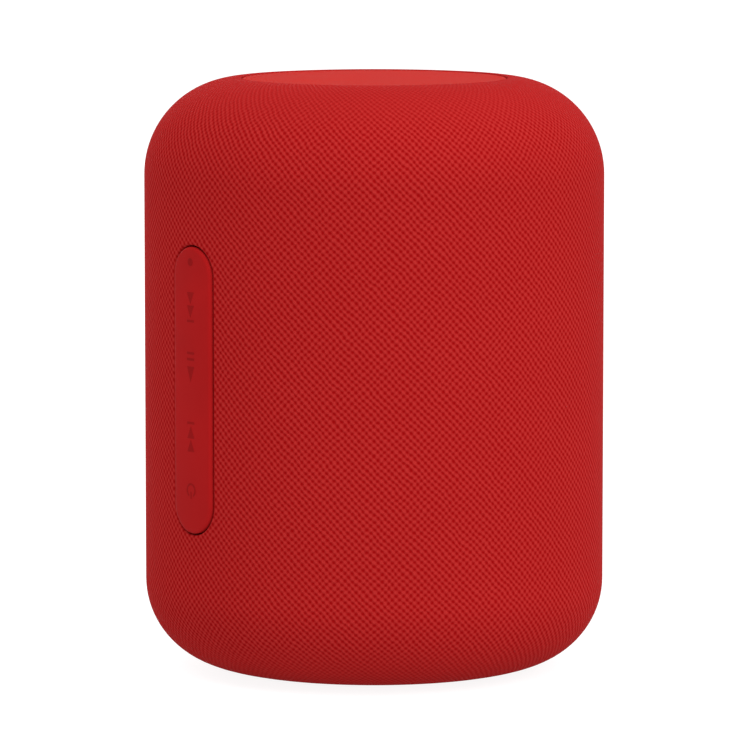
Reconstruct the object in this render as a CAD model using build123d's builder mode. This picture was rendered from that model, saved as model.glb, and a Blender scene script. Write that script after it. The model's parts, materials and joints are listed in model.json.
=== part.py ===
"""Portable wireless speaker: an upright cloth-covered cylinder with rounded ends.

Millimetres, +Z up. The origin is the centre of the rubber foot's resting plane, and the
front faces -Y. Each sub-part is its own solid or group of solids, written to parts/NAME.step.

Stack, from the table up: rubber foot ring, base plate, sound deflector, driver firing down
out of a sealed tub, battery over the driver's magnet, lid with a passive radiator, guard,
top cap and top plate. Two slotted shells go round the stack, and a knitted sleeve covers
them. A silicone button strip stands at the front left, and the sockets are at the back.
"""

import os
from math import cos, radians, sin

from build123d import *

# ---------------------------------------------------------------- driving dimensions
total_height = 135.5
body_radius = 52.5
top_rounding = 22.0
bottom_rounding = 19.7
foot_proud = 1.0

fabric_thickness = 0.9
shell_thickness = 1.8
rest_gap = 0.1  # between parts that only lie on each other
moving_gap = 0.3  # round parts that move
lap = 1.5  # half height of the joint between the two shells

# button strip
strip_angle = 50.8  # from the front (-Y) towards the left (-X)
strip_length = 64.5
strip_width = 13.4
strip_centre_z = 67.45
strip_radius = 52.9  # of its curved outer face
key_names = ["previous", "play", "next", "power"]  # from the top down
key_edges = [23.75, 12.15, -2.45, -16.45, -32.5]  # above the strip's centre
key_centres = [18.75, 5.45, -10.35, -22.45]
key_travel = 0.5
light_height = 28.85
light_top = 52.0  # the light shines through the thin silicone over it

# socket panel at the back
panel_length = 40.0
panel_width = 14.0
panel_centre_z = 68.0
panel_radius = 51.9
usb_z, aux_z = 78.0, 60.0
aux_bore_radius = 1.8
aux_mouth_y = 51.4
aux_bore_length = 14.8

# sealed enclosure
tub_radius = 43.0
tub_wall = 2.2
tub_flat_y = 31.0  # the back is cut flat, to leave a bay for the main board
baffle_z = 34.0
baffle_thickness = 3.0
tub_top_z = 100.0
lid_z = 100.6
lid_thickness = 3.0

# driver, firing down
driver_radius = 31.8
driver_opening = 28.2
cone_radius = 22.0
coil_radius = 10.4  # outside of the voice coil's former
magnet_radius = 19.5

# passive radiator, facing up
radiator_radius = 34.6
radiator_opening = 27.5
radiator_plate_radius = 22.2

# screws
pilot_radius = 1.3
shank_radius = 1.2
clearance_radius = 1.6
small_pilot_radius = 0.9
small_shank_radius = 0.8

# ---------------------------------------------------------------- worked-out places
bottom_arc = (body_radius - bottom_rounding, foot_proud + bottom_rounding)
top_arc = (body_radius - top_rounding, total_height - top_rounding)
seam_z = (foot_proud + total_height) / 2
shell_inset = fabric_thickness + rest_gap
shell_inner = body_radius - shell_inset - shell_thickness

top_opening = 30.4  # in the sleeve
top_plate_radius = top_opening - 0.2
plate_z = total_height - 2.2
top_wall = top_opening + fabric_thickness + rest_gap
top_ledge_z = 127.0
cap_z = top_ledge_z + 1.6
cap_screw_places = [(18 * cos(radians(a)), 18 * sin(radians(a))) for a in (90, 210, 330)]

bottom_opening = 33.0  # in the sleeve
bottom_wall = bottom_opening + fabric_thickness + rest_gap
bottom_ledge_z = 5.0
deflector_z = bottom_ledge_z + 1.6
base_screw_places = [(25 * cos(radians(a)), 25 * sin(radians(a))) for a in (90, 210, 330)]
leg_places = [(37 * cos(radians(a)), 37 * sin(radians(a))) for a in (30, 150, 270)]

lid_angles = (20, 160, 215, 270, 325)
lid_screw_places = [(38.4 * cos(radians(a)), 38.4 * sin(radians(a))) for a in lid_angles]
guard_z = lid_z + lid_thickness + rest_gap
hub_z = 119.0

left, front = -sin(radians(strip_angle)), -cos(radians(strip_angle))
strip_plane = Plane(origin=(0, 0, strip_centre_z), x_dir=(-front, left, 0), z_dir=(left, front, 0))
frame_face = 50.2  # distances from the body's axis, along the strip's normal
key_back = frame_face + moving_gap + key_travel
frame_back = 47.4
board_face = 45.4
switch_top = 47.1
switch_button_top = 47.9
board_screw_heights = (24.4, -30.5)

back_plane = Plane(origin=(0, 0, 0), x_dir=(-1, 0, 0), z_dir=(0, 1, 0))
panel_plane = Plane(origin=(0, 0, panel_centre_z), x_dir=(-1, 0, 0), z_dir=(0, 1, 0))
main_board_y = 33.6
main_board_face = main_board_y + 1.2
main_board_screws = [(20, 45), (-20, 45), (20, 91), (-20, 91)]

driver_screw_places = [
    (30.35 * cos(radians(a)), 30.35 * sin(radians(a))) for a in (45, 135, 225, 315)
]
radiator_screw_places = [
    (32.7 * cos(radians(a)), 32.7 * sin(radians(a))) for a in (45, 135, 225, 315)
]
flange_z = 31.9
flange_top = 33.4
washer_z = 48.5
magnet_z = washer_z + 4.1
yoke_z = magnet_z + 8.1

tray_z = 66.0
cell_z = 79.0
cell_radius = 9.2
cell_length = 65.0
cell_y = 9.6
clamp_places = [(x, y) for x in (-20, 20) for y in (-22.5, 22.5)]

os.makedirs("parts", exist_ok=True)


def keep(builder, label):
    """Labels a finished part and writes its STEP file."""
    builder.part.label = label
    export_step(builder.part, f"parts/{label}.step")


def body_face(inset):
    """Half section of the body's outline, pulled in by inset, on the XZ plane."""
    low, high = foot_proud + inset, total_height - inset
    with BuildSketch(Plane.XZ) as section:
        with BuildLine():
            Line((0, high), (0, low))
            Line((0, low), (bottom_arc[0], low))
            CenterArc(bottom_arc, bottom_rounding - inset, -90, 90)
            Line((body_radius - inset, bottom_arc[1]), (body_radius - inset, top_arc[1]))
            CenterArc(top_arc, top_rounding - inset, 0, 90)
            Line((top_arc[0], high), (0, high))
        make_face()
    return section.sketch


def body_shell(outer_inset, inner_inset):
    """A closed skin that follows the body's outline."""
    revolve(body_face(outer_inset), axis=Axis.Z)
    revolve(body_face(inner_inset), axis=Axis.Z, mode=Mode.SUBTRACT)


def ring(inner, outer, low, high, mode=Mode.ADD):
    """A flat ring about Z, or a disc where inner is 0."""
    with BuildSketch(Plane.XY.offset(low)) as outline:
        Circle(outer)
        if inner:
            Circle(inner, mode=Mode.SUBTRACT)
    extrude(outline.sketch, amount=high - low, mode=mode)


def slab(plane, width, height, near, far, places=((0, 0),), mode=Mode.ADD):
    """Rectangular blocks between two distances from a plane."""
    with BuildSketch(plane.offset(near)) as outline:
        with Locations(*places):
            Rectangle(width, height)
    extrude(outline.sketch, amount=far - near, mode=mode)


def peg(plane, radius, near, far, places=((0, 0),), mode=Mode.ADD):
    """Round pegs between two distances from a plane, or holes with Mode.SUBTRACT."""
    with BuildSketch(plane.offset(near)) as outline:
        with Locations(*places):
            Circle(radius)
    extrude(outline.sketch, amount=far - near, mode=mode)


def stadium(plane, length, width, near, far, mode=Mode.ADD):
    """An upright block with round ends between two distances from a plane."""
    with BuildSketch(plane.offset(near)) as outline:
        SlotOverall(length, width, rotation=90)
    extrude(outline.sketch, amount=far - near, mode=mode)


def windows():
    """Cuts the openings for the button strip and the socket panel."""
    gap = 2 * moving_gap
    stadium(strip_plane, strip_length + gap, strip_width + gap, 44, 60, Mode.SUBTRACT)
    stadium(panel_plane, panel_length + gap, panel_width + gap, 44, 60, Mode.SUBTRACT)


def sound_slots(count, middle_z, height):
    """Cuts a band of upright sound slots round a shell."""
    with Locations((0, 0, middle_z)):
        with PolarLocations(46, count):
            Box(16, 3.2, height, mode=Mode.SUBTRACT)


def lathe(points, mode=Mode.ADD):
    """Turns a closed outline of (radius, height) points about Z."""
    with BuildSketch(Plane.XZ) as section:
        with BuildLine():
            Polyline(*points, close=True)
        make_face()
    revolve(section.sketch, axis=Axis.Z, mode=mode)


def within(radius):
    """Keeps only what lies inside a cylinder round the body's axis."""
    Cylinder(radius=radius, height=4 * total_height, mode=Mode.INTERSECT)


def tub_outline(inset):
    """The tub's plan: a circle with its back cut flat."""
    Circle(tub_radius - inset)
    with Locations((0, tub_flat_y - inset + tub_radius)):
        Rectangle(4 * tub_radius, 2 * tub_radius, mode=Mode.SUBTRACT)


def screw_set(plane, places, head_radius, head_height, shank, length):
    """Pan-head screws with a cross recess, their heads standing on the plane."""
    peg(plane, head_radius, 0, head_height, places)
    peg(plane, shank, -length, 0, places)
    for size in ((head_radius * 1.1, 0.5), (0.5, head_radius * 1.1)):
        slab(plane, *size, head_height * 0.5, head_height, places, Mode.SUBTRACT)


def rolled_edge(inner, outer, level, thickness, roll, side):
    """A rubber surround: two flat lips joined by a half roll, to one side of level."""
    middle = (inner + outer) / 2
    start, stop = middle - roll, middle + roll
    skin = side * thickness
    with BuildSketch(Plane.XZ) as section:
        with BuildLine():
            Polyline((start, level), (inner, level), (inner, level + skin), (start, level + skin))
            ThreePointArc(
                (start, level + skin), (middle, level + skin + side * roll), (stop, level + skin)
            )
            Polyline((stop, level + skin), (outer, level + skin), (outer, level), (stop, level))
            inner_roll = side * (roll - 0.05)
            ThreePointArc((stop, level), (middle, level + inner_roll), (start, level))
        make_face()
    revolve(section.sketch, axis=Axis.Z)


# ================================================================ outside
with BuildPart() as fabric_sleeve:
    body_shell(0, fabric_thickness)
    # the cloth turns in over both ends
    ring(0, top_opening, top_arc[1], total_height, Mode.SUBTRACT)
    ring(top_opening, top_opening + fabric_thickness, 130.6, total_height - 0.5)
    ring(0, bottom_opening, 0, bottom_arc[1], Mode.SUBTRACT)
    ring(bottom_opening, bottom_opening + fabric_thickness, foot_proud + 0.5, bottom_ledge_z)
    windows()
keep(fabric_sleeve, "fabric_sleeve")

with BuildPart() as top_plate:
    ring(0, top_plate_radius, plate_z, plate_z + 2)
    fillet(top_plate.faces().sort_by(Axis.Z)[-1].edges(), 0.5)
keep(top_plate, "top_plate")

with BuildPart() as top_cap:
    ring(0, top_plate_radius, cap_z, cap_z + 1.8)
    ring(top_plate_radius - 2, top_plate_radius, cap_z + 1.8, plate_z - rest_gap)
    ring(8, 10, cap_z + 1.8, plate_z - rest_gap)
    peg(Plane.XY, clearance_radius, cap_z, cap_z + 1.8, cap_screw_places, Mode.SUBTRACT)
keep(top_cap, "top_cap")

with BuildPart() as top_cap_screws:
    screw_plane = Plane.XY.offset(cap_z + 1.8)
    screw_set(screw_plane, cap_screw_places, 2.6, 1.6, shank_radius, 8)
keep(top_cap_screws, "top_cap_screws")

with BuildPart() as upper_shell:
    body_shell(shell_inset, shell_inset + shell_thickness)
    ring(0, top_wall, top_arc[1], total_height, Mode.SUBTRACT)
    ring(top_wall, top_wall + shell_thickness, top_ledge_z, total_height - 2)
    ring(27, top_wall + shell_thickness, top_ledge_z, top_ledge_z + 1.5)
    # the outer half of the wall laps over the lower shell
    ring(0, 2 * body_radius, 0, seam_z - lap, Mode.SUBTRACT)
    ring(0, shell_inner + shell_thickness / 2, 0, seam_z + lap, Mode.SUBTRACT)
    windows()
    sound_slots(36, 112, 14)
keep(upper_shell, "upper_shell")

with BuildPart() as lower_shell:
    body_shell(shell_inset, shell_inset + shell_thickness)
    ring(0, bottom_wall, 0, bottom_arc[1], Mode.SUBTRACT)
    ring(bottom_wall, bottom_wall + shell_thickness, 3.0, bottom_ledge_z + 1.5)
    ring(29, bottom_wall + shell_thickness, bottom_ledge_z, bottom_ledge_z + 1.5)
    lap_radius = shell_inner + shell_thickness / 2 - rest_gap
    ring(lap_radius, 2 * body_radius, seam_z - lap - rest_gap, total_height, Mode.SUBTRACT)
    ring(0, 2 * body_radius, seam_z + lap - rest_gap, total_height, Mode.SUBTRACT)
    windows()
    sound_slots(36, 22, 18)
keep(lower_shell, "lower_shell")

with BuildPart() as base_plate:
    ring(0, bottom_opening - 0.2, 1.2, 3.7)
    ring(18, bottom_opening - 0.2, 3.7, bottom_ledge_z - rest_gap)
    ring(21.8, 28.2, 1.2, 2.0, Mode.SUBTRACT)
    peg(Plane.XY, 3.0, 2.0, 3.7, base_screw_places, Mode.SUBTRACT)
    peg(Plane.XY, clearance_radius, 3.7, bottom_ledge_z, base_screw_places, Mode.SUBTRACT)
keep(base_plate, "base_plate")

with BuildPart() as base_screws:
    screw_plane = Plane(origin=(0, 0, 3.7), x_dir=(1, 0, 0), z_dir=(0, 0, -1))
    screw_set(screw_plane, [(x, -y) for x, y in base_screw_places], 2.6, 1.6, shank_radius, 9)
keep(base_screws, "base_screws")

with BuildPart() as foot_ring:
    ring(22, 28, 0, 1.9)
    chamfer(foot_ring.faces().sort_by(Axis.Z)[0].edges(), 0.4)
keep(foot_ring, "foot_ring")

# ================================================================ sound path
with BuildPart() as deflector:
    ring(0, 40.5, deflector_z, deflector_z + 2.2)
    with BuildSketch(Plane.XZ):
        with BuildLine():
            foot_height = deflector_z + 2
            Polyline((20, foot_height), (0, foot_height), (0, 24), (1.5, 24))
            ThreePointArc((1.5, 24), (6.5, 14.0), (20, foot_height))
        make_face()
    revolve(axis=Axis.Z)
    peg(Plane.XY, 3.2, bottom_ledge_z, 14, base_screw_places)
    peg(Plane.XY, pilot_radius, bottom_ledge_z, 13.2, base_screw_places, Mode.SUBTRACT)
    peg(Plane.XY, 4.2, deflector_z, 10.5, leg_places)
    peg(Plane.XY, 3.0, deflector_z, 8.4, leg_places, Mode.SUBTRACT)
    peg(Plane.XY, clearance_radius, 8.4, 10.5, leg_places, Mode.SUBTRACT)
keep(deflector, "deflector")

with BuildPart() as deflector_screws:
    screw_plane = Plane(origin=(0, 0, 8.4), x_dir=(1, 0, 0), z_dir=(0, 0, -1))
    screw_set(screw_plane, [(x, -y) for x, y in leg_places], 2.6, 1.6, shank_radius, 10)
keep(deflector_screws, "deflector_screws")

# ================================================================ sealed enclosure
with BuildPart() as enclosure_tub:
    ring(0, tub_radius, baffle_z, baffle_z + baffle_thickness)
    with BuildSketch(Plane.XY.offset(baffle_z)):
        tub_outline(0)
    extrude(amount=tub_top_z - baffle_z)
    with BuildSketch(Plane.XY.offset(baffle_z + baffle_thickness)):
        tub_outline(tub_wall)
    extrude(amount=tub_top_z - baffle_z, mode=Mode.SUBTRACT)
    ring(0, driver_opening, baffle_z, baffle_z + baffle_thickness, Mode.SUBTRACT)
    hole_top = baffle_z + baffle_thickness - 0.5
    peg(Plane.XY, small_pilot_radius, baffle_z, hole_top, driver_screw_places, Mode.SUBTRACT)
    # legs down to the deflector
    peg(Plane.XY, 3.4, 10.6, baffle_z, leg_places)
    peg(Plane.XY, pilot_radius, 10.6, 20, leg_places, Mode.SUBTRACT)
    # bosses for the lid's screws, and rests for the battery tray
    peg(Plane.XY, 3.4, 89.5, tub_top_z, lid_screw_places)
    peg(Plane.XY, pilot_radius, 90.5, tub_top_z, lid_screw_places, Mode.SUBTRACT)
    rest_places = [(39.5 * cos(radians(a)), 39.5 * sin(radians(a))) for a in (0, 180, 240, 300)]
    peg(Plane.XY, 2.6, baffle_z + 2, tray_z - rest_gap, rest_places)
    # standoffs for the main board
    peg(back_plane, 2.6, tub_flat_y - 1, main_board_y - rest_gap, main_board_screws)
    peg(back_plane, small_pilot_radius, 30, main_board_y, main_board_screws, Mode.SUBTRACT)
    within(tub_radius)
keep(enclosure_tub, "enclosure_tub")

with BuildPart() as lid_seal:
    with BuildSketch(Plane.XY.offset(tub_top_z + 0.05)):
        tub_outline(0.2)
        tub_inside = tub_wall - 0.2
        Circle(tub_radius - tub_inside, mode=Mode.SUBTRACT)
        with Locations((0, tub_flat_y - 1.1)):
            Rectangle(58, 1.8)
    extrude(amount=0.5)
keep(lid_seal, "lid_seal")

with BuildPart() as enclosure_lid:
    ring(radiator_opening, tub_radius, lid_z, lid_z + lid_thickness)
    peg(Plane.XY, clearance_radius, lid_z, guard_z, lid_screw_places, Mode.SUBTRACT)
    peg(Plane.XY, small_pilot_radius, lid_z + 0.4, guard_z, radiator_screw_places, Mode.SUBTRACT)
keep(enclosure_lid, "enclosure_lid")

with BuildPart() as radiator_guard:
    ring(35.4, 42.6, guard_z, guard_z + 2)
    for angle in (0, 120, 240):
        along = (cos(radians(angle)), sin(radians(angle)), 0)
        across = (along[1], -along[0], 0)
        with BuildSketch(Plane(origin=(0, 0, 0), x_dir=along, z_dir=across)):
            with BuildLine():
                Polyline((36, guard_z), (36, hub_z), (14, hub_z), (14, hub_z + 2.4))
                Polyline((14, hub_z + 2.4), (38.4, hub_z + 2.4), (38.4, guard_z), (36, guard_z))
            make_face()
        extrude(amount=2.5, both=True)
    ring(13, 23, hub_z, hub_z + 2.4)
    peg(Plane.XY, 3.4, hub_z, cap_z - rest_gap, cap_screw_places)
    peg(Plane.XY, pilot_radius, hub_z, cap_z, cap_screw_places, Mode.SUBTRACT)
    peg(Plane.XY, clearance_radius, guard_z, guard_z + 2, lid_screw_places, Mode.SUBTRACT)
keep(radiator_guard, "radiator_guard")

with BuildPart() as lid_screws:
    screw_set(Plane.XY.offset(guard_z + 2), lid_screw_places, 2.6, 1.6, shank_radius, 14)
keep(lid_screws, "lid_screws")

# ================================================================ button strip
light_place = [(0, light_height)]
key_places = [(0, centre) for centre in key_centres]
board_screw_places = [(0, height) for height in board_screw_heights]

with BuildPart() as key_frame:
    stadium(strip_plane, strip_length, strip_width, 48.5, frame_face)
    stadium(strip_plane, strip_length + 7.5, strip_width + 5.6, frame_back, 48.6)
    peg(strip_plane, 2.2, board_face + rest_gap, frame_back, board_screw_places)
    peg(strip_plane, small_pilot_radius, board_face, 49, board_screw_places, Mode.SUBTRACT)
    peg(strip_plane, 1.6 + moving_gap, frame_back, frame_face, key_places, Mode.SUBTRACT)
    peg(strip_plane, 1.2, frame_back, frame_face, light_place, Mode.SUBTRACT)
keep(key_frame, "key_frame")

with BuildPart() as strip_end:
    stadium(strip_plane, strip_length, strip_width, frame_face + 0.05, strip_radius + 2)
    low_end = key_edges[0] + moving_gap / 2
    cut_place = [(0, low_end - strip_length)]
    slab(strip_plane, 40, 2 * strip_length, frame_face, 60, cut_place, Mode.SUBTRACT)
    within(strip_radius)
    peg(strip_plane, 1.2, frame_face, light_top + 0.1, light_place, Mode.SUBTRACT)
keep(strip_end, "strip_end")

for name, top, bottom, centre in zip(key_names, key_edges, key_edges[1:], key_centres):
    with BuildPart() as key:
        stadium(strip_plane, strip_length, strip_width, key_back, strip_radius + 2)
        band = top - bottom - moving_gap
        middle = [(0, (top + bottom) / 2)]
        slab(strip_plane, 40, band, key_back - 1, 60, middle, Mode.INTERSECT)
        within(strip_radius)
        peg(strip_plane, 1.6, switch_button_top + 0.05, key_back, [(0, centre)])
    keep(key, f"key_{name}")
    with BuildPart() as switch_button:
        peg(strip_plane, 1.05, switch_button_top - 1.35, switch_button_top, [(0, centre)])
    keep(switch_button, f"switch_button_{name}")

with BuildPart() as light_pipe:
    peg(strip_plane, 1.05, board_face + 0.8, light_top, light_place)
keep(light_pipe, "light_pipe")

with BuildPart() as status_light:
    slab(strip_plane, 1.6, 1.6, board_face + 0.05, board_face + 0.7, light_place)
keep(status_light, "status_light")

with BuildPart() as key_board:
    slab(strip_plane, 14, strip_length + 3.5, board_face - 1, board_face)
    peg(strip_plane, 1.1, board_face - 1, board_face, board_screw_places, Mode.SUBTRACT)
keep(key_board, "key_board")

with BuildPart() as key_switches:
    slab(strip_plane, 6, 6, board_face + 0.05, switch_top, key_places)
    peg(strip_plane, 1.05 + moving_gap, board_face + 0.35, switch_top, key_places, Mode.SUBTRACT)
keep(key_switches, "key_switches")

with BuildPart() as key_board_screws:
    inward = Plane(
        origin=(left * (board_face - 1), front * (board_face - 1), strip_centre_z),
        x_dir=(front, -left, 0),
        z_dir=(-left, -front, 0),
    )
    screw_set(inward, board_screw_places, 1.7, 1.0, small_shank_radius, 4)
keep(key_board_screws, "key_board_screws")

with BuildPart() as key_ribbon:
    ring(43.5, 43.8, 62, 70)
    reach = [(60 * cos(radians(a)), 60 * sin(radians(a))) for a in (124, 169, 214)]
    with BuildSketch(Plane.XY):
        with BuildLine():
            Polyline((0, 0), *reach, close=True)
        make_face()
    extrude(amount=total_height, mode=Mode.INTERSECT)
keep(key_ribbon, "key_ribbon")

# ================================================================ back
with BuildPart() as socket_panel:
    stadium(panel_plane, panel_length, panel_width, 48.5, panel_radius + 2)
    within(panel_radius)
    stadium(panel_plane, panel_length + 8, panel_width + 6, 47.2, 48.6)
    with BuildSketch(back_plane.offset(47)):
        with Locations((0, usb_z)):
            SlotOverall(9.6, 3.8)
        with Locations((0, aux_z)):
            Circle(3.0)
    extrude(amount=10, mode=Mode.SUBTRACT)
keep(socket_panel, "socket_panel")

with BuildPart() as usb_socket:
    with BuildSketch(back_plane.offset(main_board_face + 0.05)):
        with Locations((0, usb_z)):
            SlotOverall(9.0, 3.2)
    extrude(amount=16.1)
    with BuildSketch(back_plane.offset(44.8)):
        with Locations((0, usb_z)):
            SlotOverall(8.4, 2.6)
    extrude(amount=10, mode=Mode.SUBTRACT)
    slab(back_plane, 6.7, 0.7, 44.5, 50.4, [(0, usb_z)])
keep(usb_socket, "usb_socket")

with BuildPart() as aux_socket:
    slab(back_plane, 6.8, 6.8, main_board_face + 0.05, 47.1, [(0, aux_z)])
    peg(back_plane, 2.7, 47, aux_mouth_y, [(0, aux_z)])
    bore_end = aux_mouth_y - aux_bore_length
    peg(back_plane, aux_bore_radius, bore_end, aux_mouth_y, [(0, aux_z)], Mode.SUBTRACT)
keep(aux_socket, "aux_socket")

with BuildPart() as main_board:
    slab(back_plane, 48, 56, main_board_y, main_board_face, [(0, 68)])
    peg(back_plane, 1.1, main_board_y, main_board_face, main_board_screws, Mode.SUBTRACT)
keep(main_board, "main_board")

with BuildPart() as main_board_screw_set:
    screw_set(back_plane.offset(main_board_face), main_board_screws, 1.7, 1.2, 0.8, 4.4)
keep(main_board_screw_set, "main_board_screws")

with BuildPart() as radio_shield:
    slab(back_plane, 16, 18, main_board_face + 0.05, main_board_face + 2.4, [(-13, 80)])
    fillet(radio_shield.edges().filter_by(Axis.Y), 1)
keep(radio_shield, "radio_shield")

with BuildPart() as board_chips:
    slab(back_plane, 8, 8, main_board_face + 0.05, main_board_face + 1.1, [(14, 80)])
    slab(back_plane, 6, 6, main_board_face + 0.05, main_board_face + 1.0, [(13, 60)])
    slab(back_plane, 5, 4, main_board_face + 0.05, main_board_face + 1.0, [(-13, 58)])
keep(board_chips, "board_chips")

with BuildPart() as capacitors:
    peg(back_plane, 3.1, main_board_face + 0.05, main_board_face + 7, [(-17, 66.5), (17, 69.5)])
    fillet(capacitors.faces().sort_by(Axis.Y)[-2:].edges(), 0.5)
keep(capacitors, "capacitors")

with BuildPart() as cable_connectors:
    connector_places = [(-12, 47), (0, 47), (12, 47)]
    slab(back_plane, 8, 4.6, main_board_face + 0.05, main_board_face + 5, connector_places)
keep(cable_connectors, "cable_connectors")

# ================================================================ driver
with BuildPart() as driver_gasket:
    ring(driver_opening + 0.2, driver_radius - 0.2, flange_top + 0.05, baffle_z - 0.05)
    peg(Plane.XY, 1.0, flange_top, baffle_z, driver_screw_places, Mode.SUBTRACT)
keep(driver_gasket, "driver_gasket")

with BuildPart() as driver_frame:
    wall_outside = driver_opening - moving_gap
    wall_inside = wall_outside - 1.2
    floor_z = washer_z - 1.3
    lathe(
        [
            (wall_inside, flange_z),
            (driver_radius, flange_z),
            (driver_radius, flange_top),
            (wall_outside, flange_top),
            (wall_outside, 35.5),
            (19.8, floor_z - 0.4),
            (19.8, washer_z - rest_gap),
            (coil_radius + 1, washer_z - rest_gap),
            (coil_radius + 1, floor_z),
            (18.4, floor_z),
            (wall_inside, 35.2),
        ]
    )
    ring(18.9, 22.4, 41.7, 42.8)  # rest for the spider
    with Locations((0, 0, 45)):
        with PolarLocations(22, 4):
            Box(11, 18, 3.2, mode=Mode.SUBTRACT)
    peg(Plane.XY, 1.0, flange_z, flange_top, driver_screw_places, Mode.SUBTRACT)
keep(driver_frame, "driver_frame")

with BuildPart() as driver_screws:
    screw_plane = Plane(origin=(0, 0, flange_z), x_dir=(1, 0, 0), z_dir=(0, 0, -1))
    screw_set(screw_plane, driver_screw_places, 1.4, 1.0, small_shank_radius, 4)
keep(driver_screws, "driver_screws")

with BuildPart() as driver_washer:
    ring(coil_radius + 0.6, magnet_radius, washer_z, washer_z + 4)
keep(driver_washer, "driver_washer")

with BuildPart() as driver_magnet:
    ring(coil_radius + 2, magnet_radius, magnet_z, magnet_z + 8)
keep(driver_magnet, "driver_magnet")

with BuildPart() as driver_yoke:
    ring(0, magnet_radius - 0.7, yoke_z, yoke_z + 3.5)
    ring(0, coil_radius - 0.7, washer_z, yoke_z)
    chamfer(driver_yoke.faces().sort_by(Axis.Z)[-1].edges(), 0.8)
keep(driver_yoke, "driver_yoke")

with BuildPart() as voice_coil:
    ring(coil_radius - 0.4, coil_radius, 39.1, 57)
    ring(coil_radius, coil_radius + 0.3, 47.6, 53.6)
keep(voice_coil, "voice_coil")

with BuildPart() as driver_cone:
    rim_z = flange_z + 0.05
    lathe(
        [
            (coil_radius + 0.05, rim_z + 7.55),
            (cone_radius - 2, rim_z),
            (cone_radius, rim_z),
            (cone_radius, rim_z + 0.5),
            (cone_radius - 1.7, rim_z + 0.5),
            (coil_radius + 0.05, rim_z + 8.2),
        ]
    )
keep(driver_cone, "driver_cone")

with BuildPart() as dust_cap:
    dome_radius = 23.7
    with Locations((0, 0, 36.2 + dome_radius)):
        Sphere(dome_radius)
        Sphere(dome_radius - 0.5, mode=Mode.SUBTRACT)
    ring(0, 11, 36, 38.9, Mode.INTERSECT)
keep(dust_cap, "dust_cap")

with BuildPart() as driver_surround:
    rolled_edge(20.0, 28.8, flange_z - 0.05, 0.5, 2.4, -1)
keep(driver_surround, "driver_surround")

with BuildPart() as driver_spider:
    wave = [(10.8, 41.1), (12, 41.1), (13, 41.9), (14.2, 40.3), (15.4, 41.9)]
    wave += [(16.6, 40.3), (17.8, 41.1), (20.8, 41.1)]
    lathe(wave + [(r, z + 0.5) for r, z in reversed(wave)])
keep(driver_spider, "driver_spider")

# ================================================================ passive radiator
with BuildPart() as radiator_frame:
    ring(radiator_opening, radiator_radius, guard_z, guard_z + 1.5)
    peg(Plane.XY, 1.0, guard_z, guard_z + 1.5, radiator_screw_places, Mode.SUBTRACT)
keep(radiator_frame, "radiator_frame")

with BuildPart() as radiator_screws:
    screw_set(Plane.XY.offset(guard_z + 1.5), radiator_screw_places, 1.5, 1.0, 0.8, 4)
keep(radiator_screws, "radiator_screws")

with BuildPart() as radiator_surround:
    rolled_edge(19.6, 30.8, guard_z + 1.6, 0.5, 2.8, 1)
keep(radiator_surround, "radiator_surround")

with BuildPart() as radiator_plate:
    ring(0, radiator_plate_radius, guard_z - 0.5, guard_z + 1.5)
    ring(0, 12, guard_z - 2.5, guard_z - 0.5)
keep(radiator_plate, "radiator_plate")

# ================================================================ battery
def cell_room(radius, mode=Mode.SUBTRACT):
    """The two cells' cylinders, lying along X."""
    with Locations((0, -cell_y, cell_z), (0, cell_y, cell_z)):
        Cylinder(radius, cell_length, rotation=(0, 90, 0), mode=mode)


with BuildPart() as battery_cells:
    cell_room(cell_radius, Mode.ADD)
    with Locations((cell_length / 2, -cell_y, cell_z), (-cell_length / 2, cell_y, cell_z)):
        Cylinder(2.8, 1.6, rotation=(0, 90, 0))
keep(battery_cells, "battery_cells")

with BuildPart() as battery_tray:
    with BuildSketch(Plane.XY.offset(tray_z)):
        tub_outline(tub_wall + 0.6)
    extrude(amount=2)
    slab(Plane.XY, 5, 38, tray_z + 2, tray_z + 8, [(-24, 0), (0, 0), (24, 0)])
    peg(Plane.XY, 3, tray_z + 2, cell_z + 0.9, clamp_places)
    cell_room(cell_radius + 0.15)
    peg(Plane.XY, small_pilot_radius, cell_z - 8, cell_z + 0.9, clamp_places, Mode.SUBTRACT)
keep(battery_tray, "battery_tray")

with BuildPart() as battery_clamps:
    slab(Plane.XY, 8, 51, cell_z + 1, cell_z + 4, [(-20, 0), (20, 0)])
    slab(Plane.XY, 8, 38.6, cell_z + 1, cell_z + 11.4, [(-20, 0), (20, 0)])
    cell_room(cell_radius + 0.15)
    peg(Plane.XY, 1.0, cell_z + 1, cell_z + 4, clamp_places, Mode.SUBTRACT)
keep(battery_clamps, "battery_clamps")

with BuildPart() as battery_screws:
    screw_set(Plane.XY.offset(cell_z + 4), clamp_places, 1.9, 1.3, small_shank_radius, 9)
keep(battery_screws, "battery_screws")
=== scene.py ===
"""Looks for the portable wireless speaker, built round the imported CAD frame.

Metres, +Z up, front towards -Y. MM turns a millimetre size into metres. Angles round the
body are measured from the front, positive to the right as seen from the front.
"""

import json
import math

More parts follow.
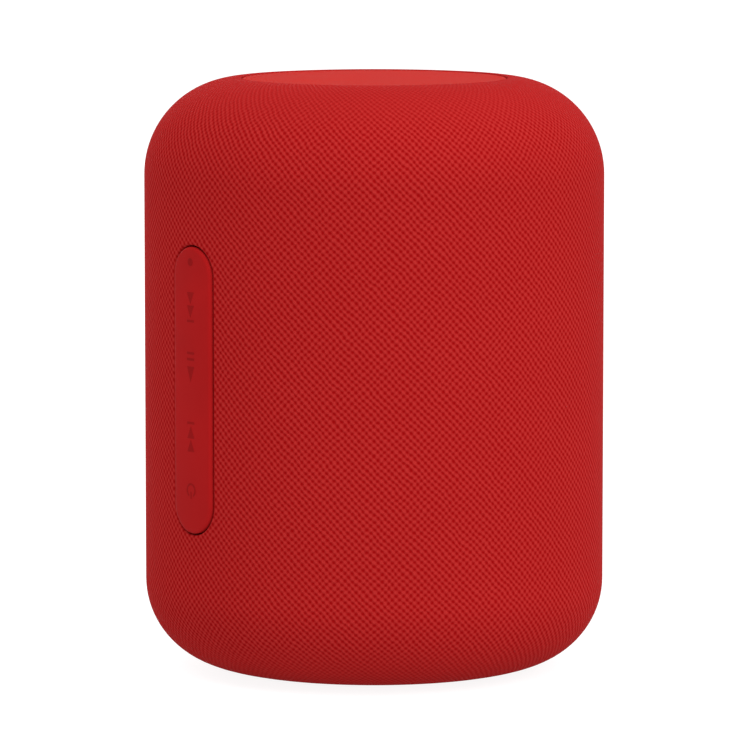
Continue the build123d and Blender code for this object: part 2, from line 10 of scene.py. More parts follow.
import bmesh
import bpy
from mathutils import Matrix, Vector


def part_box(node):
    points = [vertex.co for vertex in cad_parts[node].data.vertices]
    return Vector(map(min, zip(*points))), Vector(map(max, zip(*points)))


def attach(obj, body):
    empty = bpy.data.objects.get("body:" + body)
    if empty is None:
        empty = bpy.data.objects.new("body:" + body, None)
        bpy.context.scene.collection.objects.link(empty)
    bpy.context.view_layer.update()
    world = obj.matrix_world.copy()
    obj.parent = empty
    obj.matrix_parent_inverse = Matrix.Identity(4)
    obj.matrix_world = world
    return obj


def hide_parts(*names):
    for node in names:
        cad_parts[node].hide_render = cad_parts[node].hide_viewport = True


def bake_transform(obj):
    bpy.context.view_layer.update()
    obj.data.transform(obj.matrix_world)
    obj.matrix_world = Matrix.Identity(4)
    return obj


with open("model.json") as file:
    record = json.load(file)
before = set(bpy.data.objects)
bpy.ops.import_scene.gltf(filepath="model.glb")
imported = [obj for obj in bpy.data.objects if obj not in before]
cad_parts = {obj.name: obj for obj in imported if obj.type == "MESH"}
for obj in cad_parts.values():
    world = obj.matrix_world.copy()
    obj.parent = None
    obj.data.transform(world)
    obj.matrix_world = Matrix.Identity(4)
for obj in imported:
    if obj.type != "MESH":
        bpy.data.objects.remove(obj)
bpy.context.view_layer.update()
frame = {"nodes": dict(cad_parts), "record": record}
MM = 0.001


def span(node, axis):
    """Lowest and highest coordinate of a CAD node along an axis, in metres."""
    low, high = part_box(node)
    return low[axis], high[axis]


# ---------------------------------------------------------------- sizes from the frame
FABRIC_BOTTOM, FABRIC_TOP = span("fabric_sleeve", 2)
R = span("fabric_sleeve", 0)[1]
TOP_ROUND = 22.0 * MM
BOTTOM_ROUND = 19.7 * MM
PLATE_R = span("top_plate", 0)[1]
TOP_RIM_R = PLATE_R + 0.2 * MM
BOTTOM_RIM_R = span("base_plate", 0)[1] + 0.2 * MM

STRIP_ANGLE = math.radians(-50.8)
STRIP_R = 52.9 * MM
STRIP_HALF_WIDTH = 6.7 * MM
STRIP_Z = 67.45 * MM
STRIP_HALF_LENGTH = 32.25 * MM
KEYS = ("previous", "play", "next", "power")
KEY_EDGES = [23.75 * MM, 12.15 * MM, -2.45 * MM, -16.45 * MM, -STRIP_HALF_LENGTH]
KEY_CENTRES = [18.75 * MM, 5.45 * MM, -10.35 * MM, -22.45 * MM]
LIGHT_HEIGHT = 28.85 * MM

PANEL_HALF_WIDTH = 7.0 * MM
PANEL_HALF_LENGTH = 20.0 * MM
PANEL_Z = 68.0 * MM
GAP = 0.3 * MM  # between the cover and what stands in its openings

COLUMNS = 288
WELD = 0.5e-6  # vertices closer than this are one
WEAVE_COLUMNS = 204
WEAVE_ROW = 1.64 * MM


# ---------------------------------------------------------------- material helpers
class Nodes:
    """Short names for building one node material."""

    def __init__(self, name):
        self.material = bpy.data.materials.new(name)
        self.material.use_nodes = True
        self.tree = self.material.node_tree
        self.shader = self.tree.nodes["Principled BSDF"]

    def add(self, kind, **inputs):
        node = self.tree.nodes.new(kind)
        for key, value in inputs.items():
            self.put(node.inputs[key.replace("_", " ")], value)
        return node

    def put(self, socket, value):
        if isinstance(value, bpy.types.NodeSocket):
            self.tree.links.new(value, socket)
        else:
            socket.default_value = value

    def math(self, operation, *values, clamp=False):
        node = self.tree.nodes.new("ShaderNodeMath")
        node.operation = operation
        node.use_clamp = clamp
        for socket, value in zip(node.inputs, values):
            self.put(socket, value)
        return node.outputs[0]

    def mix(self, factor, a, b):
        node = self.tree.nodes.new("ShaderNodeMix")
        node.data_type = "RGBA"
        self.put(node.inputs["Factor"], factor)
        self.put(node.inputs["A"], a)
        self.put(node.inputs["B"], b)
        return node.outputs["Result"]

    def noise(self, vector, scale, detail=2.0, roughness=0.5):
        node = self.add("ShaderNodeTexNoise", Scale=scale, Detail=detail, Roughness=roughness)
        self.put(node.inputs["Vector"], vector)
        return node.outputs["Fac"]

    def where(self):
        return self.add("ShaderNodeTexCoord").outputs["Object"]

    def spread(self, value, low, high):
        """Maps a value from 0..1 onto low..high."""
        node = self.tree.nodes.new("ShaderNodeMapRange")
        self.put(node.inputs["Value"], value)
        node.inputs["To Min"].default_value = low
        node.inputs["To Max"].default_value = high
        return node.outputs["Result"]

    def ramp(self, value, start, end):
        """0 at start, 1 at end, and held at those values outside them."""
        node = self.tree.nodes.new("ShaderNodeMapRange")
        self.put(node.inputs["Value"], value)
        node.inputs["From Min"].default_value = start
        node.inputs["From Max"].default_value = end
        return node.outputs["Result"]

    def bump(self, height, distance, strength=1.0):
        node = self.add("ShaderNodeBump", Height=height, Distance=distance, Strength=strength)
        return node.outputs["Normal"]

    def set(self, **inputs):
        for key, value in inputs.items():
            self.put(self.shader.inputs[key.replace("_", " ")], value)


def rgb(r, g, b):
    return (r, g, b, 1.0)


def scaled(colour, factor):
    return tuple(c * factor for c in colour[:3]) + (1.0,)


def moulded(name, colour, roughness=0.5, grain=1400.0, depth=0.02, **extra):
    """Moulded plastic, rubber or pulp: fine grain, with slow changes of tone and gloss."""
    n = Nodes(name)
    at = n.where()
    slow = n.noise(at, 60.0, 3.0)
    fine = n.noise(at, grain, 2.0)
    n.set(
        Base_Color=n.mix(slow, scaled(colour, 0.88), scaled(colour, 1.12)),
        Roughness=n.spread(slow, roughness - 0.05, roughness + 0.06),
        Normal=n.bump(fine, depth * MM),
    )
    n.set(**extra)
    return n.material


def brushed(name, colour, roughness=0.32):
    """Drawn or stamped metal with fine streaks along the body's axis."""
    n = Nodes(name)
    at = n.where()
    mapping = n.add("ShaderNodeMapping", Vector=at, Scale=(1.0, 1.0, 0.05))
    streaks = n.noise(mapping.outputs["Vector"], 5200.0, 3.0)
    slow = n.noise(at, 90.0, 2.0)
    n.set(
        Base_Color=n.mix(slow, scaled(colour, 0.85), scaled(colour, 1.1)),
        Roughness=n.spread(streaks, roughness - 0.08, roughness + 0.14),
        Metallic=1.0,
        Normal=n.bump(streaks, 0.006 * MM),
    )
    return n.material


THREAD_WANDER = 0.30  # of one repeat of the weave
LEAN = (0.38, 0.80)  # share of the falling threads, from place to place
CLOSED = 0.6  # how far the mesh closes where it is drawn tight
CLOSED_TONE = 0.45
DRAWN_TOP = (126.0 * MM, 134.0 * MM)
DRAWN_BOTTOM = (12.0 * MM, 3.0 * MM)

KNOT_RED = (0.345, 0.0196, 0.0180)
HOLE_RED = (0.215, 0.0013, 0.0018)
FIBRE_RED = (0.300, 0.0085, 0.0105)
RED_STRIP = (0.285, 0.0062, 0.0066)
RED_PLATE = (0.330, 0.0090, 0.0055)
RED_BASE = (0.22, 0.0055, 0.0065)


def woven():
    """Red mesh knit: a lattice of small dark holes between raised knots, on the UV map."""
    n = Nodes("red_mesh_knit")
    uv = n.add("ShaderNodeUVMap")
    uv.uv_map = "weave"
    parts = n.add("ShaderNodeSeparateXYZ", Vector=uv.outputs["UV"])
    at = n.where()
    # the threads wander a little, so the lattice isn't perfect
    wander_x = n.spread(n.noise(at, 300.0, 3.0), -THREAD_WANDER, THREAD_WANDER)
    wander_y = n.spread(n.noise(at, 360.0, 3.0), -THREAD_WANDER, THREAD_WANDER)
    across = n.math("ADD", parts.outputs["X"], wander_x)
    up = n.math("ADD", parts.outputs["Y"], wander_y)
    turn = 2 * math.pi
    falling = n.math("COSINE", n.math("MULTIPLY", n.math("ADD", across, up), turn))
    rising = n.math("COSINE", n.math("MULTIPLY", n.math("SUBTRACT", across, up), turn))
    # in some places the falling threads stand out more than the rising ones
    lean = n.spread(n.noise(at, 170.0, 2.0), *LEAN)
    upright = n.math("SUBTRACT", 1.0, lean)
    lattice = n.math("ADD", n.math("MULTIPLY", falling, lean), n.math("MULTIPLY", rising, upright))
    # 0 on a knot, 1 in a hole
    hole = n.spread(n.math("MULTIPLY", n.math("ADD", lattice, 1.0), 0.5), 0.0, 1.0)
    pit = n.math("MULTIPLY_ADD", hole, 1.4, -0.25, clamp=True)
    fibre = n.noise(at, 3800.0, 2.0, 0.6)
    patch = n.noise(at, 45.0, 3.0)
    # the mesh is drawn tight and closes up where it turns in at the top and the bottom
    height_up = n.add("ShaderNodeSeparateXYZ", Vector=at).outputs["Z"]
    near_top = n.ramp(height_up, *DRAWN_TOP)
    near_bottom = n.ramp(height_up, *DRAWN_BOTTOM)
    closed = n.math("MULTIPLY", n.math("ADD", near_top, near_bottom), CLOSED)
    evened = n.math("MULTIPLY", n.math("SUBTRACT", CLOSED_TONE, pit), closed)
    shown = n.math("ADD", evened, pit)
    tone = n.mix(shown, rgb(*KNOT_RED), rgb(*HOLE_RED))
    tone = n.mix(n.spread(fibre, 0.0, 0.22), tone, rgb(*FIBRE_RED))
    tone = n.mix(n.spread(patch, 0.0, 0.14), tone, scaled(HOLE_RED, 0.9))
    height = n.math("SUBTRACT", n.math("MULTIPLY", fibre, 0.18), pit)
    n.set(
        Base_Color=tone,
        Roughness=n.spread(pit, 0.66, 0.9),
        Normal=n.bump(height, 0.16 * MM, 0.5),
        IOR=1.25,
        Specular_IOR_Level=0.02,
    )
    return n.material


MATERIALS = {
    "fabric": woven(),
    "top_plate": moulded(
        "satin_red_plate", RED_PLATE, 0.62, 2600.0, 0.006, IOR=1.2, Specular_IOR_Level=0.04
    ),
    "strip": moulded(
        "red_silicone", RED_STRIP, 0.55, 2400.0, 0.008, IOR=1.3, Specular_IOR_Level=0.05
    ),
    "legend": moulded(
        "strip_marks", scaled(RED_STRIP, 0.74), 0.6, 2400.0, 0.01, IOR=1.3, Specular_IOR_Level=0.05
    ),
    "base": moulded(
        "dark_red_plastic", RED_BASE, 0.6, 1500.0, 0.02, IOR=1.35, Specular_IOR_Level=0.12
    ),
    "foot": moulded(
        "dark_red_rubber", (0.12, 0.008, 0.010), 0.75, 1800.0, 0.03, Specular_IOR_Level=0.2
    ),
    "black_abs": moulded("black_moulding", (0.02, 0.02, 0.022), 0.5, 1500.0, 0.02),
    "screw": brushed("black_steel", (0.09, 0.09, 0.095), 0.35),
    "foam": moulded("closed_foam", (0.03, 0.03, 0.03), 0.9, 900.0, 0.08),
    "light_pipe": moulded("frosted_pipe", (0.42, 0.03, 0.03), 0.3, 2600.0, 0.004),
    "led": moulded("lamp_body", (0.85, 0.83, 0.70), 0.35, 2000.0, 0.01),
    "circuit_board": moulded("solder_resist", (0.02, 0.14, 0.05), 0.38, 700.0, 0.02),
    "switch": brushed("switch_can", (0.6, 0.6, 0.6), 0.3),
    "ribbon": moulded("amber_film", (0.55, 0.25, 0.06), 0.35, 1200.0, 0.01),
    "socket_metal": brushed("tinned_steel", (0.66, 0.66, 0.67), 0.28),
    "socket_black": moulded("black_nylon", (0.015, 0.015, 0.015), 0.42, 2000.0, 0.01),
    "chip": moulded("black_epoxy", (0.012, 0.012, 0.012), 0.45, 2600.0, 0.01),
    "capacitor": brushed("drawn_aluminium", (0.75, 0.75, 0.77), 0.3),
    "connector": moulded("natural_nylon", (0.75, 0.72, 0.62), 0.5, 1600.0, 0.01),
    "driver_steel": brushed("plated_steel", (0.5, 0.5, 0.51), 0.3),
    "magnet": moulded("ferrite", (0.05, 0.05, 0.055), 0.6, 2200.0, 0.02),
    "coil": brushed("copper_winding", (0.72, 0.32, 0.12), 0.3),
    "cone": moulded("paper_pulp", (0.03, 0.03, 0.03), 0.85, 900.0, 0.06),
    "surround": moulded("butyl_rubber", (0.015, 0.015, 0.015), 0.55, 1800.0, 0.01),
    "spider": moulded("resin_cloth", (0.5, 0.36, 0.16), 0.85, 2600.0, 0.06),
    "cell": moulded("shrink_sleeve", (0.03, 0.22, 0.35), 0.3, 700.0, 0.01),
}


def give(piece, material):
    piece.data.materials.clear()
    piece.data.materials.append(material)


def dress_cad_nodes():
    """Gives every CAD node the material of its slot."""
    slots = {row["node"]: row["material_slot"] for row in frame["record"]["subparts"]}
    for node, piece in frame["nodes"].items():
        for place in piece.material_slots:
            place.material = MATERIALS[slots[node]]


# ---------------------------------------------------------------- mesh helpers
def weld(mesh, smooth):
    """Joins vertices that meet, turns the faces outward and drops vertices without a face."""
    bm = bmesh.new()
    bm.from_mesh(mesh)
    bmesh.ops.remove_doubles(bm, verts=bm.verts, dist=WELD)
    bmesh.ops.recalc_face_normals(bm, faces=bm.faces)
    loose = [v for v in bm.verts if not v.link_faces]
    bmesh.ops.delete(bm, geom=loose, context="VERTS")
    bm.to_mesh(mesh)
    bm.free()
    for polygon in mesh.polygons:
        polygon.use_smooth = smooth


def add_piece(mesh, material):
    """Puts a mesh in the scene under its own name."""
    piece = bpy.data.objects.new(mesh.name, mesh)
    bpy.context.scene.collection.objects.link(piece)
    give(piece, material)
    return piece


def new_piece(name, verts, faces, material, smooth=True):
    mesh = bpy.data.meshes.new(name)
    mesh.from_pydata(verts, [], faces)
    mesh.validate()
    weld(mesh, smooth)
    return add_piece(mesh, material)


def round_point(angle, radius, z):
    return (radius * math.sin(angle), -radius * math.cos(angle), z)


def arc(centre, radius, start, stop, steps):
    """Points (r, z) on an arc, angles in degrees, both ends included."""
    points = []
    for i in range(steps + 1):
        a = math.radians(start + (stop - start) * i / steps)
        points.append((centre[0] + radius * math.cos(a), centre[1] + radius * math.sin(a)))
    return points


# ---------------------------------------------------------------- fabric cover
def cover_profile():
    """(r, z) from the bottom tuck, up the outside, to the top tuck."""
    lip = 0.35 * MM
    low_centre = (R - BOTTOM_ROUND, FABRIC_BOTTOM + BOTTOM_ROUND)
    high_centre = (R - TOP_ROUND, FABRIC_TOP - TOP_ROUND)
    bottom = [(BOTTOM_RIM_R, FABRIC_BOTTOM + depth * MM) for depth in (3.8, 2.0, 0.8)]
    bottom += arc((BOTTOM_RIM_R + lip, FABRIC_BOTTOM + lip), lip, 180, 270, 4)
    low = arc(low_centre, BOTTOM_ROUND, -87, 0, 22)
    rows = 48
    rise = high_centre[1] - low_centre[1]
    side = [(R, low_centre[1] + rise * i / rows) for i in range(1, rows)]
    high = arc(high_centre, TOP_ROUND, 0, 88, 24)
    top = arc((TOP_RIM_R + lip, FABRIC_TOP - lip), lip, 90, 180, 4)
    top += [(TOP_RIM_R, FABRIC_TOP - depth * MM) for depth in (0.8, 2.0, 4.4)]
    return bottom, low, side, high, top


HOLE_MARGIN = 3.2 * MM  # from an opening's edge to the plain grid, up and down
HOLE_REACH = 9  # columns left out on each side of an opening's middle
EDGE_ROLL = 0.55 * MM  # radius the knit is turned in by at an opening
EDGE_TUCK = 2.2 * MM  # how deep it goes
EDGE_ANGLES = (90, 68, 45, 22, 0)
BLEND_STEPS = 6  # rings between an opening's edge and the plain grid
BLEND_POWER = 1.4


def stadium_medial(y, half_length, half_width):
    """The nearest point's height on the middle line of an upright stadium."""
    reach = half_length - half_width
    return max(-reach, min(reach, y))


def fabric_cover():
    """The knit, with openings for the button strip and the panel at the back."""
    bottom, low, side, high, top = cover_profile()
    profile = bottom + low + side + high + top
    lengths = [0.0]
    for (r0, z0), (r1, z1) in zip(profile, profile[1:]):
        lengths.append(lengths[-1] + math.hypot(r1 - r0, z1 - z0))
    first_side = len(bottom) + len(low) - 1
    last_side = len(bottom) + len(low) + len(side)
    start_angle = -math.pi / 2
    step = 2 * math.pi / COLUMNS

    def column_angle(k):
        return start_angle + step * k

    def arc_length(z):
        """Arc length along the profile at a height on the straight side."""
        return lengths[first_side] + z - profile[first_side][1]

    verts, faces, uvs = [], [], []

    def vert(angle, r, z, length):
        verts.append(round_point(angle, r, z))
        uvs.append((angle / (2 * math.pi) * WEAVE_COLUMNS, length / WEAVE_ROW))
        return len(verts) - 1

    grid = [
        [vert(column_angle(k), r, z, lengths[j]) for k in range(COLUMNS + 1)]
        for j, (r, z) in enumerate(profile)
    ]

    holes = (
        (STRIP_ANGLE, STRIP_Z, STRIP_HALF_WIDTH + GAP, STRIP_HALF_LENGTH + GAP),
        (math.pi, PANEL_Z, PANEL_HALF_WIDTH + GAP, PANEL_HALF_LENGTH + GAP),
    )
    skipped = set()
    patches = []
    for angle, z, half_width, half_length in holes:
        middle = round((angle - start_angle) / step)
        rows = range(first_side, last_side + 1)
        j0 = max(j for j in rows if profile[j][1] <= z - half_length - HOLE_MARGIN)
        j1 = min(j for j in rows if profile[j][1] >= z + half_length + HOLE_MARGIN)
        k0, k1 = middle - HOLE_REACH, middle + HOLE_REACH
        for j in range(j0, j1):
            for k in range(k0, k1):
                skipped.add((j, k))
        loop = [(j0, k) for k in range(k0, k1)] + [(j, k1) for j in range(j0, j1)]
        loop += [(j1, k) for k in range(k1, k0, -1)] + [(j, k0) for j in range(j1, j0, -1)]
        patches.append((angle, z, half_width, half_length, loop))

    for j in range(len(profile) - 1):
        for k in range(COLUMNS):
            if (j, k) not in skipped:
                faces.append((grid[j][k], grid[j][k + 1], grid[j + 1][k + 1], grid[j + 1][k]))

    turned_in = [(0.0, EDGE_TUCK)]  # (offset outward from the opening's edge, depth)
    for a in map(math.radians, EDGE_ANGLES):
        turned_in.append((EDGE_ROLL * (1 - math.sin(a)), EDGE_ROLL * (1 - math.cos(a))))
    for angle, z, half_width, half_length, loop in patches:
        rings = []
        outer = [(column_angle(k) - angle, profile[j][1] - z) for j, k in loop]
        edge = []
        for turn, y in outer:
            x = R * math.sin(turn)
            m = stadium_medial(y, half_length, half_width)
            direction = Vector((x, y - m)).normalized()
            edge.append((m, direction))
        for offset, depth in turned_in:
            ring = []
            for m, direction in edge:
                x = direction.x * (half_width + offset)
                y = m + direction.y * (half_width + offset)
                turn = math.asin(x / R)
                ring.append(vert(angle + turn, R - depth, z + y, arc_length(z + y)))
            rings.append(ring)
        for i in range(1, BLEND_STEPS):
            t = (i / BLEND_STEPS) ** BLEND_POWER
            ring = []
            for (m, direction), (turn1, y1) in zip(edge, outer):
                x = direction.x * (half_width + EDGE_ROLL)
                y = m + direction.y * (half_width + EDGE_ROLL)
                turn = math.asin(x / R) * (1 - t) + turn1 * t
                height = y * (1 - t) + y1 * t
                ring.append(vert(angle + turn, R, z + height, arc_length(z + height)))
            rings.append(ring)
        rings.append([grid[j][k] for j, k in loop])
        count = len(loop)
        for inner, outer_ring in zip(rings, rings[1:]):
            for i in range(count):
                after = (i + 1) % count
                faces.append((inner[i], inner[after], outer_ring[after], outer_ring[i]))

    mesh = bpy.data.meshes.new("fabric_cover")
    mesh.from_pydata(verts, [], faces)
    layer = mesh.uv_layers.new(name="weave")
    for loop in mesh.loops:
        layer.data[loop.index].uv = uvs[loop.vertex_index]
    weld(mesh, smooth=True)
    piece = add_piece(mesh, MATERIALS["fabric"])
    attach(piece, "housing")
    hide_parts("fabric_sleeve")


# ---------------------------------------------------------------- button strip
def strip_point(x, y, depth):
    """A point on the strip: x across, y above its centre, depth below its curved face."""
    radius = STRIP_R - depth
    out = math.sqrt(radius * radius - x * x)
    ox, oy = math.sin(STRIP_ANGLE), -math.cos(STRIP_ANGLE)
    ax, ay = math.cos(STRIP_ANGLE), math.sin(STRIP_ANGLE)
    return (ox * out + ax * x, oy * out + ay * x, STRIP_Z + y)


STRIP_PROFILE = (  # (inset from the edge, depth below the face), millimetres
    (0.0, 2.3), (0.0, 1.4), (0.0, 0.75), (0.05, 0.48), (0.17, 0.26), (0.36, 0.10), (0.62, 0.02),
    (1.0, 0.0), (2.0, 0.0), (3.2, 0.0), (4.4, 0.0), (5.6, 0.0), (6.7, 0.0),
)


STRIP_END_STEPS = 18
STRIP_ROW = 0.8 * MM


def strip_section(name, top, bottom):
    """The strip's skin between two heights; a round end is closed where the strip ends."""
    reach = STRIP_HALF_LENGTH - STRIP_HALF_WIDTH
    spine = []  # (middle-line height, direction) from the top, down the right side
    if top >= STRIP_HALF_LENGTH:
        for i in range(STRIP_END_STEPS):
            a = math.pi / 2 * (1 - i / STRIP_END_STEPS)
            spine.append((reach, Vector((math.cos(a), math.sin(a)))))
    straight_top, straight_bottom = min(top, reach), max(bottom, -reach)
    rows = max(4, round((straight_top - straight_bottom) / STRIP_ROW))
    for i in range(rows + 1):
        y = straight_top + (straight_bottom - straight_top) * i / rows
        spine.append((y, Vector((1.0, 0.0))))
    if bottom <= -STRIP_HALF_LENGTH:
        for i in range(1, STRIP_END_STEPS + 1):
            a = -math.pi / 2 * i / STRIP_END_STEPS
            spine.append((-reach, Vector((math.cos(a), math.sin(a)))))
    verts, faces = [], []
    for side in (1, -1):
        base = len(verts)
        for m, direction in spine:
            for inset, depth in STRIP_PROFILE:
                radius = STRIP_HALF_WIDTH - inset * MM
                x, y = side * direction.x * radius, m + direction.y * radius
                verts.append(strip_point(x, y, depth * MM))
        width = len(STRIP_PROFILE)
        for i in range(len(spine) - 1):
            for j in range(width - 1):
                a = base + i * width + j
                faces.append((a, a + 1, a + width + 1, a + width))
    piece = new_piece(name, verts, faces, MATERIALS["strip"])
    return piece


def button_strip():
    """The skin over the housing's end piece and over each key, in two halves per key."""
    end = strip_section("strip_top_end", STRIP_HALF_LENGTH, KEY_EDGES[0])
    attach(end, "housing")
    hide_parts("strip_end")
    for key, top, bottom, centre in zip(KEYS, KEY_EDGES, KEY_EDGES[1:], KEY_CENTRES):
        upper = strip_section(f"{key}_skin_upper", top, centre)
        lower = strip_section(f"{key}_skin_lower", centre, bottom)
        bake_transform(upper)
        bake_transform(lower)
        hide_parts(f"key_{key}")


MARK_STEPS = ((0.0, 0.03), (0.0, -0.015), (0.04, -0.025))  # (inset, depth), millimetres
WINDOW_R = 0.9
WINDOW_SIDES = 24


def legend(name, key, outlines, centre):
    """Small marks that stand just proud of a key, from closed (x, y) outlines in millimetres."""
    verts, faces = [], []
    for outline in outlines:
        count = len(outline)
        base = len(verts)
        for inset, depth in MARK_STEPS:
            middle = Vector((sum(p[0] for p in outline), sum(p[1] for p in outline))) / count
            for point in outline:
                p = Vector(point)
                p += (middle - p).normalized() * inset
                verts.append(strip_point(p.x * MM, centre + p.y * MM, depth * MM))
        last_ring = len(MARK_STEPS) - 1
        for ring in range(last_ring):
            for i in range(count):
                after = (i + 1) % count
                a = base + ring * count
                faces.append((a + i, a + after, a + count + after, a + count + i))
        faces.append([base + last_ring * count + i for i in range(count)])
    piece = new_piece(name, verts, faces, MATERIALS["legend"], smooth=False)
    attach(piece, key)


def bar(y, half_width=1.3, half_height=0.28):
    low, high = y - half_height, y + half_height
    return [(-half_width, low), (half_width, low), (half_width, high), (-half_width, high)]


def pointer(tip, back, half_width=1.3):
    """A triangle that points up or down the strip."""
    return [(0.0, tip), (-half_width, back), (half_width, back)]


def ring_arc(radius, width, start, stop, steps=14):
    """An open ring as separate four-sided pieces joined end to end."""
    pieces = []
    for i in range(steps):
        a0 = math.radians(start + (stop - start) * i / steps)
        a1 = math.radians(start + (stop - start) * (i + 1) / steps)
        pieces.append([
            (radius * math.cos(a0), radius * math.sin(a0)),
            ((radius + width) * math.cos(a0), (radius + width) * math.sin(a0)),
            ((radius + width) * math.cos(a1), (radius + width) * math.sin(a1)),
            (radius * math.cos(a1), radius * math.sin(a1)),
        ])
    return pieces


def key_marks():
    """Previous, play, next and power marks on the keys, and the window of the light."""
    previous = [pointer(0.6, 3.4), pointer(-2.4, 0.4), bar(-3.1)]
    play = [pointer(-3.6, 0.0), bar(1.6), bar(3.0)]
    following = [pointer(-0.6, -3.4), pointer(2.4, -0.4), bar(3.1)]
    legend("previous_mark", "key_previous", previous, KEY_CENTRES[0])
    legend("play_mark", "key_play", play, KEY_CENTRES[1])
    legend("next_mark", "key_next", following, KEY_CENTRES[2])
    power = ring_arc(1.2, 0.45, -60, 240) + [bar(-1.1, 0.22, 0.8)]
    legend("power_mark", "key_power", power, KEY_CENTRES[3])
    turns = [2 * math.pi * i / WINDOW_SIDES for i in range(WINDOW_SIDES)]
    window = [(WINDOW_R * math.cos(a), WINDOW_R * math.sin(a)) for a in turns]
    legend("light_window", "housing", [window], LIGHT_HEIGHT)


# ---------------------------------------------------------------- charging socket
def socket_tongue():
    """The black nylon over the tongue of the charging socket at the back."""
    half_width = 3.38 * MM
    half_height = 0.38 * MM
    inner = 44.9 * MM
    mouth = 50.43 * MM
    bevel = 0.12 * MM
    z = sum(span("usb_socket", 2)) / 2
    rings = ((inner, 0.0), (mouth - bevel, 0.0), (mouth, bevel))  # (y, inset)
    corners = 4
    verts, faces = [], []
    for y, inset in rings:
        w, h = half_width - inset, half_height - inset
        verts += [(-w, y, z - h), (w, y, z - h), (w, y, z + h), (-w, y, z + h)]
    last_ring = len(rings) - 1
    for ring in range(last_ring):
        for i in range(corners):
            after = (i + 1) % corners
            a = corners * ring
            faces.append((a + i, a + after, a + corners + after, a + corners + i))
    faces.append([corners * last_ring + i for i in range(corners)])
    piece = new_piece("usb_tongue", verts, faces, MATERIALS["socket_black"], smooth=False)
    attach(piece, "housing")


# ---------------------------------------------------------------- rings cut into sectors
SECTORS = 24
RINGS = (  # node, moving body, radius it is held at, radius it moves from, slot
    ("driver_surround", "driver_cone", 26.6 * MM, 21.9 * MM, "surround"),
    ("driver_spider", "driver_cone", 17.6 * MM, 12.6 * MM, "spider"),
    ("radiator_surround", "radiator", 28.4 * MM, 22.0 * MM, "surround"),
)


def flexing_rings():
    """Rings between the frame and a cone, cut into sectors of equal angle."""
    half = math.pi / SECTORS
    for node, body, held, moving, slot in RINGS:
        source = frame["nodes"][node]
        for k in range(SECTORS):
            middle = 2 * half * k
            bm = bmesh.new()
            bm.from_mesh(source.data)
            for side in (-1, 1):
                angle = middle + side * half
                across = Vector((math.cos(angle), math.sin(angle), 0.0)) * side
                whole = bm.verts[:] + bm.edges[:] + bm.faces[:]
                bmesh.ops.bisect_plane(
                    bm, geom=whole, plane_co=(0, 0, 0), plane_no=across, clear_outer=True
                )
            mesh = bpy.data.meshes.new(f"{node}_{k + 1}")
            bm.to_mesh(mesh)
            bm.free()
            piece = add_piece(mesh, MATERIALS[slot])
            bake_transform(piece)
            if k == 0:
                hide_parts(node)


# ---------------------------------------------------------------- studio
AMBIENT = 1.19
AMBIENT_SLOPE = 0.5
FLOOR_BOUNCE = 0.4
FLOOR_GLOW = 0.55
FLOOR_GREY = 0.2
FLOOR_SHOWN = 0.9  # how bright the camera sees it
FLOOR_Z = -0.05 * MM  # just below the foot
FLOOR_SIZE = 30.0
LAMP_AIM = (0.0, 0.0, 0.07)
LAMPS = (  # name, place, diameter, power, whether it shows in reflections
    ("overhead", (0.2, -0.1, 1.4), 1.2, 2.2, True),
    ("front_right", (0.7, -1.2, 1.1), 1.0, 11.0, True),
    ("top_left", (-0.5, -0.4, 1.4), 1.0, 6.5, True),
    ("back_left", (-0.86, 1.23, 0.5), 1.0, 11.0, False),
)


def seen_directly(tree, otherwise, directly):
    """Mixes two shaders: one for what the camera sees, the other for the light it sends on."""
    path = tree.nodes.new("ShaderNodeLightPath")
    mix = tree.nodes.new("ShaderNodeMixShader")
    tree.links.new(path.outputs["Is Camera Ray"], mix.inputs[0])
    tree.links.new(otherwise, mix.inputs[1])
    tree.links.new(directly, mix.inputs[2])
    return mix.outputs[0]


def room():
    """Even white light that grows a little to the right, in front of a white backdrop."""
    world = bpy.data.worlds.new("studio")
    world.use_nodes = True
    tree = world.node_tree
    ambient = tree.nodes["Background"]
    ambient.inputs["Color"].default_value = rgb(1.0, 1.0, 1.0)
    direction = tree.nodes.new("ShaderNodeTexCoord")
    split = tree.nodes.new("ShaderNodeSeparateXYZ")
    level = tree.nodes.new("ShaderNodeMath")
    level.operation = "MULTIPLY_ADD"
    tree.links.new(direction.outputs["Generated"], split.inputs[0])
    tree.links.new(split.outputs["X"], level.inputs[0])
    level.inputs[1].default_value = AMBIENT * AMBIENT_SLOPE
    level.inputs[2].default_value = AMBIENT
    tree.links.new(level.outputs[0], ambient.inputs["Strength"])
    backdrop = tree.nodes.new("ShaderNodeBackground")
    backdrop.inputs["Color"].default_value = rgb(1.0, 1.0, 1.0)
    shader = seen_directly(tree, ambient.outputs[0], backdrop.outputs[0])
    tree.links.new(shader, tree.nodes["World Output"].inputs["Surface"])
    bpy.context.scene.world = world
    view = bpy.context.scene.view_settings
    view.view_transform = "Standard"
    view.look = "None"
    view.exposure = 0.0


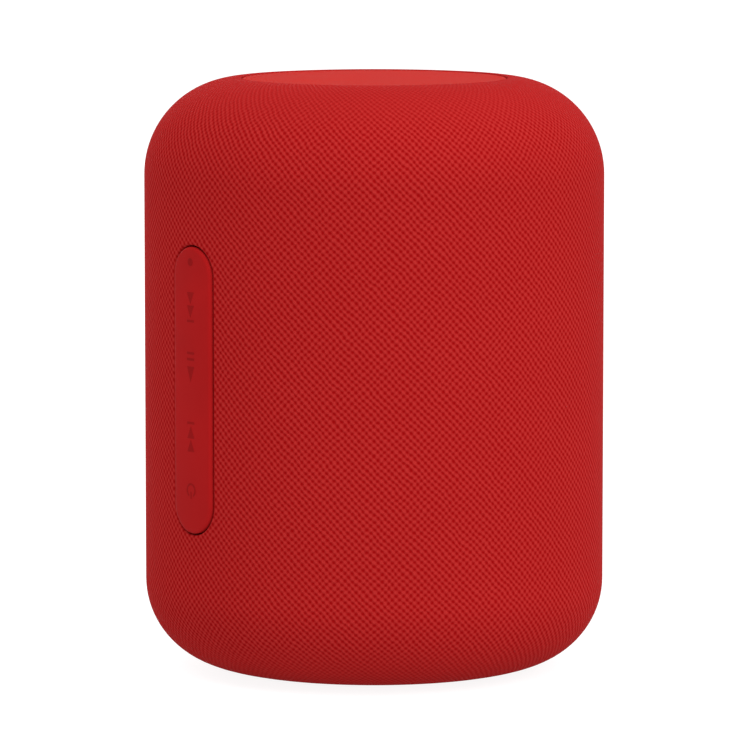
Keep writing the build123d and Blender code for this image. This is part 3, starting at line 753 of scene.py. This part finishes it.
def pale_floor():
    """White where the camera sees it, and clear from underneath."""
    bpy.ops.mesh.primitive_plane_add(size=FLOOR_SIZE, location=(0.0, 0.0, FLOOR_Z))
    floor = bpy.context.object
    floor.name = "floor"
    material = bpy.data.materials.new("pale_floor")
    material.use_nodes = True
    tree = material.node_tree
    white = tree.nodes["Principled BSDF"]
    white.inputs["Base Color"].default_value = rgb(FLOOR_GREY, FLOOR_GREY, FLOOR_GREY)
    white.inputs["Roughness"].default_value = 0.9
    white.inputs["Specular IOR Level"].default_value = 0.0
    white.inputs["Emission Color"].default_value = rgb(1.0, 1.0, 1.0)
    white.inputs["Emission Strength"].default_value = FLOOR_SHOWN
    bounce = tree.nodes.new("ShaderNodeBsdfDiffuse")
    bounce.inputs["Color"].default_value = rgb(FLOOR_BOUNCE, FLOOR_BOUNCE, FLOOR_BOUNCE)
    glow = tree.nodes.new("ShaderNodeEmission")
    glow.inputs["Strength"].default_value = FLOOR_GLOW
    sent_on = tree.nodes.new("ShaderNodeAddShader")
    tree.links.new(bounce.outputs[0], sent_on.inputs[0])
    tree.links.new(glow.outputs[0], sent_on.inputs[1])
    shader = seen_directly(tree, sent_on.outputs[0], white.outputs[0])
    side = tree.nodes.new("ShaderNodeNewGeometry")
    clear = tree.nodes.new("ShaderNodeBsdfTransparent")
    two_sides = tree.nodes.new("ShaderNodeMixShader")
    tree.links.new(side.outputs["Backfacing"], two_sides.inputs[0])
    tree.links.new(shader, two_sides.inputs[1])
    tree.links.new(clear.outputs[0], two_sides.inputs[2])
    tree.links.new(two_sides.outputs[0], tree.nodes["Material Output"].inputs["Surface"])
    give(floor, material)


def lamps():
    for name, place, size, power, reflected in LAMPS:
        data = bpy.data.lights.new(name, "AREA")
        data.shape = "DISK"
        data.size = size
        data.energy = power
        item = bpy.data.objects.new(name, data)
        item.location = place
        item.visible_glossy = reflected
        direction = Vector(LAMP_AIM) - Vector(place)
        item.rotation_euler = direction.to_track_quat("-Z", "Y").to_euler()
        bpy.context.scene.collection.objects.link(item)


def camera():
    """From the front and far away, pitched down a little towards the middle of the body."""
    distance = 24 * R
    pitch = math.radians(6.56)
    target = Vector((0.0, 0.0, FABRIC_BOTTOM + 1.26 * R))
    width_in_view = 3.276 * R  # at the target
    sensor_width = 36.0
    data = bpy.data.cameras.new("camera")
    data.sensor_width = sensor_width
    data.lens = sensor_width * distance / width_in_view
    data.shift_x = 0.001
    data.clip_start = 0.05
    item = bpy.data.objects.new("camera", data)
    item.location = target + distance * Vector((0.0, -math.cos(pitch), math.sin(pitch)))
    item.rotation_euler = (math.pi / 2 - pitch, 0.0, 0.0)
    bpy.context.scene.collection.objects.link(item)
    bpy.context.scene.camera = item


dress_cad_nodes()
fabric_cover()
button_strip()
key_marks()
socket_tongue()
flexing_rings()
room()
pale_floor()
lamps()
camera()
